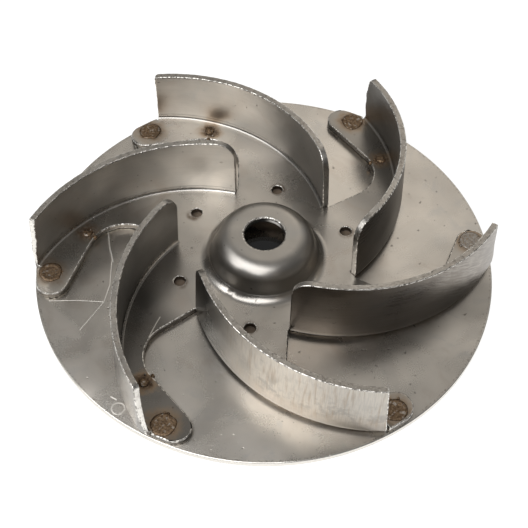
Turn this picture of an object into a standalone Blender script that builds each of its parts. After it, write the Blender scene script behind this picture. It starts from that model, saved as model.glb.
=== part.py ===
"""Semi-open pump impeller pressed from sheet steel.

A flat back disc carries a six-armed pressed spider: a drawn hub boss in the middle and, at the
convex edge of each arm, a curved vane bent upright. Each arm is spot-welded to the disc twice,
once on the round lobe at the rim and once at the narrow neck.

Metres, +Z up. The origin is the centre of the disc's underside, and +Z is the axis of rotation.
Plan shapes of an arm are laid out in the arm's own frame, in which the vane's tip lies near +X.
"""

import math

import bmesh
import bpy
from mathutils import Matrix, Vector

MM = 0.001

# Clearance that neighbouring solids keep
GAP = 0.3 * MM

# Back disc
DISC_RADIUS = 92.0 * MM
DISC_THICKNESS = 2.5 * MM
DISC_BORE_RADIUS = 12.0 * MM
DISC_EDGE_BREAK = 0.3 * MM
DISC_STEPS = 80

# Pressed sheet of the spider
SHEET = 2.5 * MM
PLATE_TOP = DISC_THICKNESS + GAP + SHEET

# Hub plate with its drawn boss
BORE_RADIUS = 8.0 * MM
BOSS_TOP = 19.2 * MM
BOSS_FLAT_RADIUS = 12.9 * MM
BOSS_SHOULDER_RADIUS = 7.6 * MM
BOSS_BASE_RADIUS = 26.0 * MM
BOSS_BASE_FILLET = 4.9 * MM
BOSS_WALL_LEAN = math.radians(12.4)
HUB_PLATE_RADIUS = 31.0 * MM
HUB_STEPS = 40
PROFILE_STEP = math.radians(16.0)

# Arms, anticlockwise from the upper left, with how far each is off its even sixth of a turn
ARM_COUNT = 6
FIRST_ARM_ANGLE = math.radians(120.0)
ARM_SCATTER = [math.radians(a) for a in (-0.5, 2.5, 1.3, -0.3, -0.6, -1.1)]
ROOT_STEP = math.radians(7.5)

# Six pierced holes, one at the root of each arm
HOLE_PITCH_RADIUS = 36.0 * MM
HOLE_RADIUS = 2.3 * MM
HOLE_ANGLE = math.radians(-38.0)
HOLE_SEGMENTS = 24
PIERCE_DEPTH = 20.0 * MM

# Vane: a single arc in plan, measured at the foot of its concave face, leaning inwards as it rises
VANE_ARC_RADIUS = 68.6 * MM
VANE_CENTRE_RADIUS = 43.3 * MM
VANE_CENTRE_ANGLE = math.radians(48.4)
VANE_LEAN = math.radians(2.4)
VANE_START_ANGLE = math.radians(-105.0)
VANE_TIP_RADII = [r * MM for r in (91.0, 89.6, 90.4, 89.6, 89.6, 90.8)]
VANE_INNER_HEIGHT = 35.0 * MM
VANE_TIP_HEIGHT = 30.3 * MM
VANE_HEIGHT_FROM = 32.0 * MM
VANE_HEIGHT_TO = 89.6 * MM
VANE_CORNER_RADIUS = 8.0 * MM
VANE_STEPS = 18
CORNER_STEPS = 5
BEND_RADIUS = 1.2 * MM
BEND_STEPS = 3

# Foot of the arm: a round notch narrows it to a neck, then it widens to the lobe. Each foot is
# swung a little from its place under its own vane
FOOT_RIM_RADIUS = 91.4 * MM
LOBE_RADIUS = 6.3 * MM
LOBE_ANGLE = math.radians(7.3)
NOTCH_RADIUS = 14.6 * MM
NOTCH_PLACE = (56.8 * MM, math.radians(-3.4))
FOOT_SWING = [math.radians(a) for a in (1.75, 0.2, -0.1, -1.6, -0.7, 0.4)]
OUTLINE_STEP = math.radians(12.0)

# Slit between the end of a vane and the foot of the arm before, measured along the vane
SLIT = 1.35 * GAP

# Spot welds
OUTER_WELD_RADIUS = 3.2 * MM
OUTER_WELD_PLACE = (85.8 * MM, math.radians(5.3))
INNER_WELD_RADIUS = 2.4 * MM
INNER_WELD_PLACE = (73.3 * MM, math.radians(-9.6))
WELD_HEIGHT = 0.8 * MM
WELD_TAPER = 0.72
WELD_SEGMENTS = 20

# Edges bent by more than this stay sharp in the shading
SHARP_ANGLE = math.radians(40.0)

# Colour, roughness and metallic value of each finish
FINISHES = {
    "disc_steel": ((0.50, 0.47, 0.43, 1.0), 0.30, 1.0),
    "pressed_steel": ((0.42, 0.40, 0.37, 1.0), 0.36, 1.0),
    "weld_steel": ((0.24, 0.17, 0.11, 1.0), 0.55, 0.9),
}


def clear_scene():
    for obj in list(bpy.data.objects):
        bpy.data.objects.remove(obj, do_unlink=True)


def new_collection(name):
    collection = bpy.data.collections.new(name)
    bpy.context.scene.collection.children.link(collection)
    return collection


def make_finish(name):
    colour, roughness, metallic = FINISHES[name]
    material = bpy.data.materials.new(name)
    material.use_nodes = True
    shader = material.node_tree.nodes["Principled BSDF"]
    shader.inputs["Base Color"].default_value = colour
    shader.inputs["Roughness"].default_value = roughness
    shader.inputs["Metallic"].default_value = metallic
    material.diffuse_color = colour
    return material


def polar(radius, angle):
    return Vector((radius * math.cos(angle), radius * math.sin(angle)))


def arc_points(centre, radius, start, end, step=OUTLINE_STEP):
    """Points along an arc, both ends included."""
    count = max(1, math.ceil(abs(end - start) / step))
    return [centre + polar(radius, start + (end - start) * i / count) for i in range(count + 1)]


def angle_of(point):
    return math.atan2(point.y, point.x)


def circle_angle_at(centre, radius, distance):
    """Angle on a circle, on its clockwise side, of the point at a distance from the axis."""
    reach = centre.length
    cosine = (distance ** 2 - reach ** 2 - radius ** 2) / (2.0 * reach * radius)
    return angle_of(centre) - math.acos(cosine)


def link_mesh(name, mesh, collection, material):
    obj = bpy.data.objects.new(name, mesh)
    collection.objects.link(obj)
    mesh.materials.append(material)
    return obj


def smooth(obj):
    obj.data.shade_smooth()
    obj.data.set_sharp_from_angle(angle=SHARP_ANGLE)


def turn_profile(name, profile, closed, steps, collection, material):
    """A profile of (radius, height) points turned about Z with a Screw modifier."""
    mesh = bpy.data.meshes.new(name)
    edges = [(i, i + 1) for i in range(len(profile) - 1)]
    if closed:
        edges.append((len(profile) - 1, 0))
    mesh.from_pydata([(radius, 0.0, height) for radius, height in profile], edges, [])
    obj = link_mesh(name, mesh, collection, material)
    screw = obj.modifiers.new("turn", "SCREW")
    screw.steps = steps
    screw.render_steps = steps
    screw.use_merge_vertices = True
    screw.merge_threshold = 0.01 * MM
    screw.use_smooth_shade = True
    return obj


def add_sheet_thickness(obj):
    """Thicken an open surface to the sheet's gauge, away from its front faces."""
    solidify = obj.modifiers.new("gauge", "SOLIDIFY")
    solidify.thickness = SHEET
    solidify.offset = -1.0
    solidify.use_even_offset = True
    return solidify


def make_back_disc(collection, material):
    edge = DISC_EDGE_BREAK
    profile = [
        (DISC_BORE_RADIUS, DISC_THICKNESS),
        (DISC_RADIUS - edge, DISC_THICKNESS),
        (DISC_RADIUS, DISC_THICKNESS - edge),
        (DISC_RADIUS, edge),
        (DISC_RADIUS - edge, 0.0),
        (DISC_BORE_RADIUS, 0.0),
    ]
    return turn_profile("back_disc", profile, True, DISC_STEPS, collection, material)


def boss_profile():
    """Top surface of the hub, from the bore's edge out to the rim of the hub plate."""
    wall = math.pi / 2.0 - BOSS_WALL_LEAN
    shoulder = arc_points(Vector((BOSS_FLAT_RADIUS, BOSS_TOP - BOSS_SHOULDER_RADIUS)),
                          BOSS_SHOULDER_RADIUS, math.pi / 2.0, math.pi / 2.0 - wall,
                          PROFILE_STEP)
    base = arc_points(Vector((BOSS_BASE_RADIUS, PLATE_TOP + BOSS_BASE_FILLET)),
                      BOSS_BASE_FILLET, 1.5 * math.pi - wall, 1.5 * math.pi, PROFILE_STEP)
    return ([(BORE_RADIUS, BOSS_TOP)] + [tuple(point) for point in shoulder + base]
            + [(HUB_PLATE_RADIUS, PLATE_TOP)])


def make_hub_plate(collection, material):
    hub = turn_profile("hub_plate", boss_profile(), False, HUB_STEPS, collection, material)
    add_sheet_thickness(hub)
    return hub


def vane_centre():
    return polar(VANE_CENTRE_RADIUS, VANE_CENTRE_ANGLE)


def vane_height(distance):
    """Height of the vane's top edge above the disc's underside, at a distance from the axis."""
    share = (distance - VANE_HEIGHT_FROM) / (VANE_HEIGHT_TO - VANE_HEIGHT_FROM)
    return VANE_INNER_HEIGHT + share * (VANE_TIP_HEIGHT - VANE_INNER_HEIGHT)


def vane_stations(tip_radius):
    """Angle on the vane's arc and height of the top edge, from the inner end to the tip."""
    centre = vane_centre()
    start = VANE_START_ANGLE
    end = circle_angle_at(centre, VANE_ARC_RADIUS, tip_radius)
    corner = VANE_CORNER_RADIUS
    stations = []
    for i in range(CORNER_STEPS):
        turn = 0.5 * math.pi * i / CORNER_STEPS
        run = corner * (1.0 - math.cos(turn))
        drop = corner * (1.0 - math.sin(turn))
        stations.append((start + run / VANE_ARC_RADIUS, drop))
    after_corner = start + corner / VANE_ARC_RADIUS
    for i in range(VANE_STEPS + 1):
        stations.append((after_corner + (end - after_corner) * i / VANE_STEPS, 0.0))
    result = []
    for angle, drop in stations:
        distance = (centre + polar(VANE_ARC_RADIUS, angle)).length
        result.append((angle, vane_height(distance) - drop))
    return result


def slit_edge(reach):
    """Inner and outer end of the slit, on the side of the arm before, in that arm's frame."""
    centre = vane_centre()
    angle = VANE_START_ANGLE - SLIT / VANE_ARC_RADIUS
    turn = Matrix.Rotation(reach, 2)
    inner = centre + polar(VANE_ARC_RADIUS - BEND_RADIUS, angle)
    outer = centre + polar(VANE_ARC_RADIUS + SHEET + GAP, angle)
    return turn @ inner, turn @ outer


def foot_outline(reach, swing, bend_line):
    """Plan outline of an arm's flat foot, after the points of its bend line."""
    axis = Vector((0.0, 0.0))
    lobe_angle = LOBE_ANGLE + swing
    lobe = polar(FOOT_RIM_RADIUS - LOBE_RADIUS, lobe_angle)
    notch_centre = polar(NOTCH_PLACE[0], NOTCH_PLACE[1] + swing)
    rim = arc_points(axis, FOOT_RIM_RADIUS, angle_of(bend_line[-1]), lobe_angle)
    apart = lobe - notch_centre
    side = angle_of(apart) + math.asin((NOTCH_RADIUS + LOBE_RADIUS) / apart.length)
    around_lobe = arc_points(lobe, LOBE_RADIUS, lobe_angle, side + 0.5 * math.pi)
    slit_inner, slit_outer = slit_edge(reach)
    toward = notch_centre - slit_outer
    entry_angle = angle_of(toward) - math.asin(NOTCH_RADIUS / toward.length)
    notch = arc_points(notch_centre, NOTCH_RADIUS, side - 0.5 * math.pi,
                       entry_angle - 0.5 * math.pi)
    root = arc_points(axis, HUB_PLATE_RADIUS + GAP, angle_of(slit_inner),
                      angle_of(bend_line[0]), ROOT_STEP)
    return rim + around_lobe[1:] + notch + [slit_outer, slit_inner] + root


def vane_mesh(name, tip_radius, reach, swing):
    """Open surface of one arm: flat foot, bend and upright vane, as the top and inner face."""
    centre = vane_centre()
    stations = vane_stations(tip_radius)
    foot_arc = VANE_ARC_RADIUS - BEND_RADIUS
    bend_line = [centre + polar(foot_arc, angle) for angle, _ in stations]
    outline = bend_line + foot_outline(reach, swing, bend_line)
    shell = bmesh.new()
    foot_verts = [shell.verts.new((point.x, point.y, PLATE_TOP)) for point in outline]
    shell.faces.new(foot_verts)
    row = foot_verts[:len(stations)]
    bend_angle = 0.5 * math.pi + VANE_LEAN
    for step in range(1, BEND_STEPS + 1):
        turn = bend_angle * step / BEND_STEPS
        radius = foot_arc + BEND_RADIUS * math.sin(turn)
        height = PLATE_TOP + BEND_RADIUS * (1.0 - math.cos(turn))
        places = [centre + polar(radius, angle) for angle, _ in stations]
        row = add_row(shell, row, [(place.x, place.y, height) for place in places])
    tops = []
    for angle, top in stations:
        lean = (top - height) * math.tan(VANE_LEAN)
        place = centre + polar(radius - lean, angle)
        tops.append((place.x, place.y, top))
    add_row(shell, row, tops)
    bmesh.ops.recalc_face_normals(shell, faces=shell.faces)
    if shell.faces[0].normal.z < 0.0:
        bmesh.ops.reverse_faces(shell, faces=shell.faces)
    mesh = bpy.data.meshes.new(name)
    shell.to_mesh(mesh)
    shell.free()
    return mesh


def add_row(shell, row, places):
    """Join a new row of points to the last one with quads."""
    fresh = [shell.verts.new(place) for place in places]
    for i in range(len(row) - 1):
        shell.faces.new((row[i + 1], row[i], fresh[i], fresh[i + 1]))
    return fresh


def make_hole_cutter(name, angle, cutters):
    place = polar(HOLE_PITCH_RADIUS, angle)
    bpy.ops.mesh.primitive_cylinder_add(vertices=HOLE_SEGMENTS, radius=HOLE_RADIUS,
                                        depth=PIERCE_DEPTH, location=(place.x, place.y, PLATE_TOP))
    cutter = bpy.context.object
    cutter.name = name
    for collection in list(cutter.users_collection):
        collection.objects.unlink(cutter)
    cutters.objects.link(cutter)
    cutter.hide_render = True
    cutter.display_type = "WIRE"
    return cutter


def make_vane(index, turn, reach, collection, cutters, material):
    """One arm, turned to its place; reach is the angle on to the next arm."""
    name = f"vane_{index + 1}"
    mesh = vane_mesh(name, VANE_TIP_RADII[index], reach, FOOT_SWING[index])
    vane = link_mesh(name, mesh, collection, material)
    vane.rotation_euler.z = turn
    add_sheet_thickness(vane)
    even_turn = FIRST_ARM_ANGLE + index * 2.0 * math.pi / ARM_COUNT
    cutter = make_hole_cutter(f"hole_cutter_{index + 1}", even_turn + HOLE_ANGLE, cutters)
    pierce = vane.modifiers.new("pierce", "BOOLEAN")
    pierce.operation = "DIFFERENCE"
    pierce.solver = "EXACT"
    pierce.object = cutter
    smooth(vane)
    return vane


def make_weld(name, place, radius, turn, collection, material):
    distance, angle = place
    spot = polar(distance, angle + turn)
    button = bmesh.new()
    bmesh.ops.create_cone(button, cap_ends=True, segments=WELD_SEGMENTS, radius1=radius,
                          radius2=radius * WELD_TAPER, depth=WELD_HEIGHT)
    mesh = bpy.data.meshes.new(name)
    button.to_mesh(mesh)
    button.free()
    weld = link_mesh(name, mesh, collection, material)
    weld.location = (spot.x, spot.y, PLATE_TOP + GAP + 0.5 * WELD_HEIGHT)
    smooth(weld)
    return weld


def build_impeller():
    clear_scene()
    parts = new_collection("pump_impeller")
    cutters = new_collection("cutters")
    finish = {name: make_finish(name) for name in FINISHES}
    make_back_disc(parts, finish["disc_steel"])
    make_hub_plate(parts, finish["pressed_steel"])
    sixth = 2.0 * math.pi / ARM_COUNT
    for index in range(ARM_COUNT):
        scatter = ARM_SCATTER[index]
        next_scatter = ARM_SCATTER[(index + 1) % ARM_COUNT]
        turn = FIRST_ARM_ANGLE + index * sixth + scatter
        reach = sixth + next_scatter - scatter
        make_vane(index, turn, reach, parts, cutters, finish["pressed_steel"])
        foot_turn = turn + FOOT_SWING[index]
        make_weld(f"lobe_weld_{index + 1}", OUTER_WELD_PLACE, OUTER_WELD_RADIUS, foot_turn,
                  parts, finish["weld_steel"])
        make_weld(f"neck_weld_{index + 1}", INNER_WELD_PLACE, INNER_WELD_RADIUS, foot_turn,
                  parts, finish["weld_steel"])


build_impeller()
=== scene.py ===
"""Looks of a semi-open pump impeller pressed from sheet steel and spot-welded to its back disc.

Metres, +Z up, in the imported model's frame. The real spider is one pressed sheet, so it is drawn
here as one: a turned boss, a flat plate with six feet, and six vanes bent up from the feet.
"""

import math
import random

import bmesh
import bpy
from mathutils import Matrix, Vector, noise
from mathutils.geometry import delaunay_2d_cdt


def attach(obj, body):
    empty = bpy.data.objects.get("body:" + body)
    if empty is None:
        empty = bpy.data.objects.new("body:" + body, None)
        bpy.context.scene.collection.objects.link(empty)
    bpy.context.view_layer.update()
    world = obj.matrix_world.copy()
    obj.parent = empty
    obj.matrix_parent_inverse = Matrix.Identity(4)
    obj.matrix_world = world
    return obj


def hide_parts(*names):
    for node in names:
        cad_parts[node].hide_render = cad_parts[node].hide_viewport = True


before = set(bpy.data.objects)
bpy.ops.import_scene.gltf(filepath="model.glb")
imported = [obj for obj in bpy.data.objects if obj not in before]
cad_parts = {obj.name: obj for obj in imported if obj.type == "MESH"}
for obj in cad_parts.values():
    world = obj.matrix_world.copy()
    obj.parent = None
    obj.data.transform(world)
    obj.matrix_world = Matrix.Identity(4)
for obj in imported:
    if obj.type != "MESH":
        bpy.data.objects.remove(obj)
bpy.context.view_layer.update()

MM = 0.001
ARM_COUNT = 6
SIXTH = 2.0 * math.pi / ARM_COUNT

# Camera, fitted to the rim, the bore, the holes and the vanes
PICTURE_PIXELS = 528
SENSOR_WIDTH = 36.0
FOCAL_PIXELS = 1109.0
CAMERA_ELEVATION = math.radians(52.08)
CAMERA_ROLL = math.radians(-0.89)
CAMERA_DISTANCE = 452.2 * MM
CAMERA_SHIFT_RIGHT = 0.04 * MM
CAMERA_SHIFT_UP = 0.22 * MM

# Studio: the soft glow behind the impeller, by how nearly a ray points at it
GLOW_DIRECTION = (0.14, 0.74, 0.66)
GLOW_STOPS = [(0.0, (0.08, 0.08, 0.083, 1.0)), (0.60, (0.16, 0.158, 0.155, 1.0)),
              (0.80, (0.20, 0.196, 0.19, 1.0)), (0.92, (0.50, 0.485, 0.46, 1.0)),
              (0.965, (0.66, 0.63, 0.59, 1.0)), (1.0, (1.12, 1.05, 0.96, 1.0))]

SOFTBOX_PLACE = (-0.31, -0.32, 0.61)
SOFTBOX_SIZE = (0.90, 0.72)
SOFTBOX_POWER = 5.8
SOFTBOX_COLOUR = (0.985, 0.99, 1.0)

# Floor: glowing paper just under the disc, with a painted shadow where the disc covers it
FLOOR_RADIUS = 20.0
FLOOR_POINTS = 96
FLOOR_DROP = 0.05 * MM
FLOOR_GLOW = 0.9
FLOOR_PAINTED_SHADOW = 0.02
FLOOR_COLOUR = 0.3

# Back disc
DISC_RADIUS = 92.0 * MM
DISC_THICKNESS = 2.5 * MM
DISC_BORE_RADIUS = 12.0 * MM
DISC_EDGE_ROUND = 0.45 * MM
DISC_EDGE_STEP = math.radians(30.0)
DISC_SHARP_TURN = math.radians(40.0)
DISC_STEPS = 288

# Pressed sheet, and how far each kind of edge is rounded
SHEET = 2.5 * MM
SHEET_GAP = 0.3 * MM
PLATE_TOP = DISC_THICKNESS + SHEET_GAP + SHEET
BORE_ROUND = 0.8 * MM
FOOT_ROUND = 0.5 * MM
HOLE_ROUND = 0.4 * MM
EDGE_ROUND = 0.38 * MM
ROUND_STEPS = 3
SHARP_TURN = math.radians(50.0)
ON_TOP = 0.05 * MM
JOIN_GAP = 0.001 * MM
FLAT_JOIN_GAP = 0.002 * MM

# The spider's finishes after the upper face: lower face, sheared edges, rounded arrises
LOWER_SLOT = 1
SHEARED_SLOT = 2
ARRIS_SLOT = 3

# Boss
BORE_RADIUS = 8.0 * MM
BOSS_TOP = 19.2 * MM
BOSS_FLAT_RADIUS = 12.9 * MM
BOSS_SHOULDER_RADIUS = 7.6 * MM
BOSS_BASE_RADIUS = 26.0 * MM
BOSS_BASE_FILLET = 4.9 * MM
BOSS_WALL_LEAN = math.radians(12.4)
BOSS_DENT_ANGLE = math.radians(236.0)
BOSS_DENT_RADIUS = 23.4 * MM
BOSS_DENT_DEPTH = 0.5 * MM
BOSS_DENT_WIDTH = 0.9 * MM
BOSS_DENT_HEIGHT = 1.3 * MM
BOSS_STEP = math.radians(7.0)
SECTOR_STEPS = 24

# Arms
FIRST_ARM_ANGLE = math.radians(120.0)
ARM_SCATTER = [math.radians(a) for a in (-0.5, 2.5, 1.3, -0.3, -0.6, -1.1)]
HOLE_PITCH_RADIUS = 36.0 * MM
HOLE_RADIUS = 2.3 * MM
HOLE_ANGLE = math.radians(-38.0)
HOLE_POINTS = 36
ARM_MARGIN = 0.02

# Vanes
VANE_ARC_RADIUS = 68.6 * MM
VANE_CENTRE_RADIUS = 43.3 * MM
VANE_CENTRE_ANGLE = math.radians(48.4)
VANE_LEAN = math.radians(2.4)
VANE_START_ANGLE = math.radians(-105.0)
VANE_INNER_HEIGHT = 35.0 * MM
VANE_TIP_HEIGHT = 30.3 * MM
VANE_HEIGHT_FROM = 32.0 * MM
VANE_HEIGHT_TO = 89.6 * MM
VANE_CORNER_RADIUS = 8.0 * MM
VANE_STEPS = 84
CORNER_STEPS = 12
VANE_ROWS = 24
BEND_RADIUS = 1.2 * MM
BEND_STEPS = 7

# Worn ends of the vanes: angle on the arc at the foot, half way up and at the top, in degrees,
# the radius of the top corner, and how ragged the end is
TIP_PROFILES = [(-24.5, -24.6, -24.4), (-25.3, -26.7, -27.8), (-24.4, -27.6, -28.7),
                (-27.6, -28.1, -28.6), (-26.7, -28.5, -29.0), (-25.2, -24.7, -25.8)]
TIP_CORNERS = [1.0 * MM, 0.6 * MM, 1.6 * MM, 0.5 * MM, 1.0 * MM, 2.4 * MM]
TIP_RAGGEDNESS = [0.15 * MM, 0.55 * MM, 0.6 * MM, 0.2 * MM, 0.25 * MM, 0.8 * MM]
# Length of vane over which the mesh gives way to the wear, and depth of the nicks on top
WEAR_REACH = 14.0 * MM
NICK_DEPTH = 0.22 * MM
# Nothing of the spider reaches past this radius
TURNED_RADIUS = 91.9 * MM

# Feet, each swung a little from its place under its own vane
FOOT_RIM_RADIUS = 91.4 * MM
LOBE_RADIUS = 6.3 * MM
LOBE_ANGLE = math.radians(7.3)
NOTCH_RADIUS = 14.6 * MM
NOTCH_PLACE = (56.8 * MM, math.radians(-3.4))
FOOT_SWING = [math.radians(a) for a in (1.75, 0.2, -0.1, -1.6, -0.7, 0.4)]
OUTLINE_STEP = math.radians(4.0)
RIM_STEP = math.radians(0.7)
LOBE_STEP = math.radians(8.0)

# Cut between the end of a vane and the foot of the arm before: half its width at the open end,
# and the distance from the axis within which its edges stay sharp
SLIT = 0.15 * MM
SLIT_REACH = 37.9 * MM

# Scratches on the disc, as plan points and half widths in millimetres
DISC_SCRATCHES = [
    ([(-61.6, -1.9), (-61.2, -14.0), (-62.8, -22.4), (-66.7, -29.2), (-70.7, -35.9)], 0.32),
    ([(-84.4, -22.4), (-74.0, -21.9), (-63.2, -22.4)], 0.18),
    ([(-64.8, 14.3), (-63.2, 5.0), (-61.1, -2.4)], 0.45),
    ([(-55.8, -65.7), (-53.8, -66.9)], 0.35)]

DISC_RING_MARK = (-52.8 * MM, -70.7 * MM, DISC_THICKNESS)

# Scratches on the flat of the spider
SPIDER_SCRATCHES = [
    ([(-39.9, -31.2), (-41.2, -34.2), (-43.5, -40.6)], 0.30),
    ([(28.5, 28.6), (42.3, 36.2)], 0.14)]

# Spot welds: radius in millimetres and angle in degrees on each foot
LOBE_WELDS = [(85.8, 5.3), (85.6, 4.1), (86.0, 4.5), (86.0, 6.3), (84.8, 7.5), (86.0, 4.1)]
NECK_WELDS = [(74.0, -11.6), (73.2, -10.8), (75.0, -7.0), (73.3, -9.6), (73.3, -9.6), (73.7, -12.0)]
CLEAN_WELD_ARM = 5
LOBE_CRUST_RADIUS = 4.8 * MM
LOBE_CRUST_HEIGHT = 0.34 * MM
CLEAN_CRUST_HEIGHT = 0.18 * MM
NECK_CRUST_RADIUS = 2.1 * MM
NECK_CRUST_HEIGHT = 0.75 * MM
CRUST_RINGS = 9
CRUST_SPOKES = 30
NOTCH_BEAD_RADIUS = 0.9 * MM

# Beads of spatter: how many, sizes and distances in millimetres, directions in radians on the foot
SPATTER_SEED = 7
LOBE_BEADS = 3
LOBE_BEAD_DISTANCES = (4.2, 5.2)
NECK_BEADS = 4
NECK_BEAD_DISTANCES = (1.2, 3.4)
BEAD_SIZES = (0.25, 0.6)
BEAD_DIRECTIONS = (1.7, 4.0)

# Torn flake at the first neck weld: corners and thickness in millimetres
CHIP_CORNERS = [(-3.0, 1.2, 0.0), (1.6, 1.6, 1.1), (0.9, -1.9, 0.2)]
CHIP_THICKNESS = 0.35


def polar(radius, angle):
    return Vector((radius * math.cos(angle), radius * math.sin(angle)))


def angle_of(point):
    return math.atan2(point.y, point.x)


def grey(tone):
    return (tone, tone, tone, 1.0)


def vane_centre():
    return polar(VANE_CENTRE_RADIUS, VANE_CENTRE_ANGLE)


def hole_place():
    """Plan point of the pierced hole in the arm's own frame."""
    return polar(HOLE_PITCH_RADIUS, HOLE_ANGLE)


def turned(point, angle):
    """A plan point turned about the axis."""
    return Vector((point.x * math.cos(angle) - point.y * math.sin(angle),
                   point.x * math.sin(angle) + point.y * math.cos(angle)))


def arm_turn(index):
    return FIRST_ARM_ANGLE + index * SIXTH + ARM_SCATTER[index % ARM_COUNT]


def weld_spot(places, index):
    """Plan point of a spot weld, and the turn of its foot."""
    radius, angle = places[index]
    turn = arm_turn(index) + FOOT_SWING[index]
    return polar(radius * MM, math.radians(angle) + turn), turn


def arc_points(centre, radius, start, end, step=OUTLINE_STEP):
    count = max(1, math.ceil(abs(end - start) / step))
    return [centre + polar(radius, start + (end - start) * i / count) for i in range(count + 1)]


def ease(low, high, value):
    """Smooth step from 0 at low to 1 at high."""
    share = min(1.0, max(0.0, (value - low) / (high - low)))
    return share * share * (3.0 - 2.0 * share)


class Value:
    """A socket that arithmetic can be written on; each step adds a Math node."""

    def __init__(self, nodes, socket):
        self.nodes = nodes
        self.socket = socket

    def math(self, operation, *others):
        return self.nodes.add("ShaderNodeMath", {"operation": operation}, (self, *others))

    def __add__(self, other):
        return self.math("ADD", other)

    def __mul__(self, other):
        return self.math("MULTIPLY", other)

    def __sub__(self, other):
        return self.math("SUBTRACT", other)

    def __truediv__(self, other):
        return self.math("DIVIDE", other)

    def __rsub__(self, other):
        return self.nodes.add("ShaderNodeMath", {"operation": "SUBTRACT"}, (other, self))

    __radd__ = __add__
    __rmul__ = __mul__


class Nodes:
    """The nodes of one finish, or of the studio's glow."""

    def __init__(self, tree):
        self.tree = tree

    def add(self, kind, settings, inputs, output=0):
        """A node of any kind: its settings first, then the values or links of its sockets."""
        node = self.tree.nodes.new(kind)
        for name, value in settings.items():
            if name == "stops":
                self.fill_ramp(node.color_ramp, value)
            elif name == "ramp_steps":
                node.color_ramp.interpolation = value
            else:
                setattr(node, name, value)
        pairs = inputs.items() if isinstance(inputs, dict) else enumerate(inputs)
        for name, value in pairs:
            self.feed(node.inputs[name], value)
        return Value(self, node.outputs[output])

    def feed(self, socket, value):
        if isinstance(value, Value):
            self.tree.links.new(value.socket, socket)
        else:
            socket.default_value = value

    @staticmethod
    def fill_ramp(ramp, stops):
        while len(ramp.elements) < len(stops):
            ramp.elements.new(0.5)
        for element, (position, colour) in zip(ramp.elements, stops):
            element.position = position
            element.color = colour

    def vector(self, operation, *operands, output=0):
        return self.add("ShaderNodeVectorMath", {"operation": operation}, operands, output)

    def blend(self, factor, first, second, way="MIX"):
        """Mix of two colours, which are the node's sockets 6 and 7."""
        return self.add("ShaderNodeMix", {"data_type": "RGBA", "blend_type": way},
                        {"Factor": factor, 6: first, 7: second}, 2)


class Finish(Nodes):
    """A material: one Principled shader and the nodes that feed it."""

    def __init__(self, name, metallic=1.0):
        self.material = bpy.data.materials.new(name)
        self.material.use_nodes = True
        super().__init__(self.material.node_tree)
        self.shader = self.tree.nodes["Principled BSDF"]
        self.shader.inputs["Metallic"].default_value = metallic
        self.place = self.add("ShaderNodeTexCoord", {}, {}, "Object")

    def noise(self, size, detail, rough, place=None, warp=0.0):
        """Cloudy noise from 0 to 1, with patches about size metres across."""
        return self.add("ShaderNodeTexNoise", {}, {
            "Vector": place or self.place, "Scale": 1.0 / size, "Detail": detail,
            "Roughness": rough, "Distortion": warp})

    def plan_radius(self, place):
        """Distance of a place from the axis, seen from above."""
        flat = self.vector("MULTIPLY", place, (1.0, 1.0, 0.0))
        return self.vector("LENGTH", flat, output="Value")

    def step(self, value, low, high, to_low=0.0, to_high=1.0):
        """Smooth step between two values, clamped."""
        return self.add("ShaderNodeMapRange", {"interpolation_type": "SMOOTHSTEP"}, {
            "Value": value, "From Min": low, "From Max": high, "To Min": to_low,
            "To Max": to_high})

    def near(self, place, point, inner, outer):
        """1 within inner of a point, falling to 0 at outer."""
        gap = self.vector("DISTANCE", place, point, output="Value")
        return self.step(gap, inner, outer, 1.0, 0.0)

    def toned(self, colour, tone):
        """A colour multiplied by another."""
        return self.blend(1.0, colour, tone, "MULTIPLY")

    def stroke(self, start, end, width):
        """1 on a straight stroke between two plan points, falling to 0 at its edge."""
        run = Vector(end) - Vector(start)
        flat = self.vector("MULTIPLY", self.place, (1.0, 1.0, 0.0))
        offset = self.vector("SUBTRACT", flat, (start[0], start[1], 0.0))
        share = self.vector("DOT_PRODUCT", offset, (*(run / run.length_squared), 0.0),
                            output="Value").math("MAXIMUM", 0.0).math("MINIMUM", 1.0)
        foot = self.join(share * run.x, share * run.y, 0.0)
        gap = self.vector("DISTANCE", offset, foot, output="Value")
        return self.step(gap, 0.25 * width, width, 1.0, 0.0)

    def line(self, points, width):
        """A stroke through several plan points."""
        mask = self.stroke(points[0], points[1], width)
        for start, end in zip(points[1:], points[2:]):
            mask = mask.math("MAXIMUM", self.stroke(start, end, width))
        return mask

    def painted_light_and_shade(self, colour, places):
        """A colour made lighter or darker round a few points: painted light and shade."""
        for point, reach, tone in places:
            spot = [value * MM for value in point]
            here = self.near(self.place, spot, 0.3 * reach * MM, reach * MM)
            colour = self.toned(colour, self.blend(here, WHITE, grey(tone)))
        return colour

    def marks(self, scratched):
        """Several strokes, given as plan points and half widths in millimetres."""
        mask = 0.0
        for points, width in scratched:
            path = [(px * MM, py * MM) for px, py in points]
            mask = self.line(path, width * MM).math("MAXIMUM", mask)
        return mask

    def attribute(self, name):
        return self.add("ShaderNodeAttribute", {"attribute_name": name}, {}, "Fac")

    def split(self, place):
        """The X, Y and Z of a vector."""
        first = self.add("ShaderNodeSeparateXYZ", {}, (place,))
        return [Value(self, socket) for socket in first.socket.node.outputs]

    def join(self, x, y, z):
        return self.add("ShaderNodeCombineXYZ", {}, (x, y, z))

    def bump(self, height, distance, below=None):
        """A bump of a height from 0 to 1 over a distance, laid on another bump or alone."""
        inputs = {"Height": height, "Distance": distance, "Strength": 1.0}
        if below is not None:
            inputs["Normal"] = below
        return self.add("ShaderNodeBump", {}, inputs)

    def surface(self, colour, roughness, normal, metallic=None):
        """Feed the shader; returns the material."""
        self.feed(self.shader.inputs["Base Color"], colour)
        self.feed(self.shader.inputs["Roughness"], roughness)
        self.feed(self.shader.inputs["Normal"], normal)
        if metallic is not None:
            self.feed(self.shader.inputs["Metallic"], metallic)
        return self.material


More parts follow.
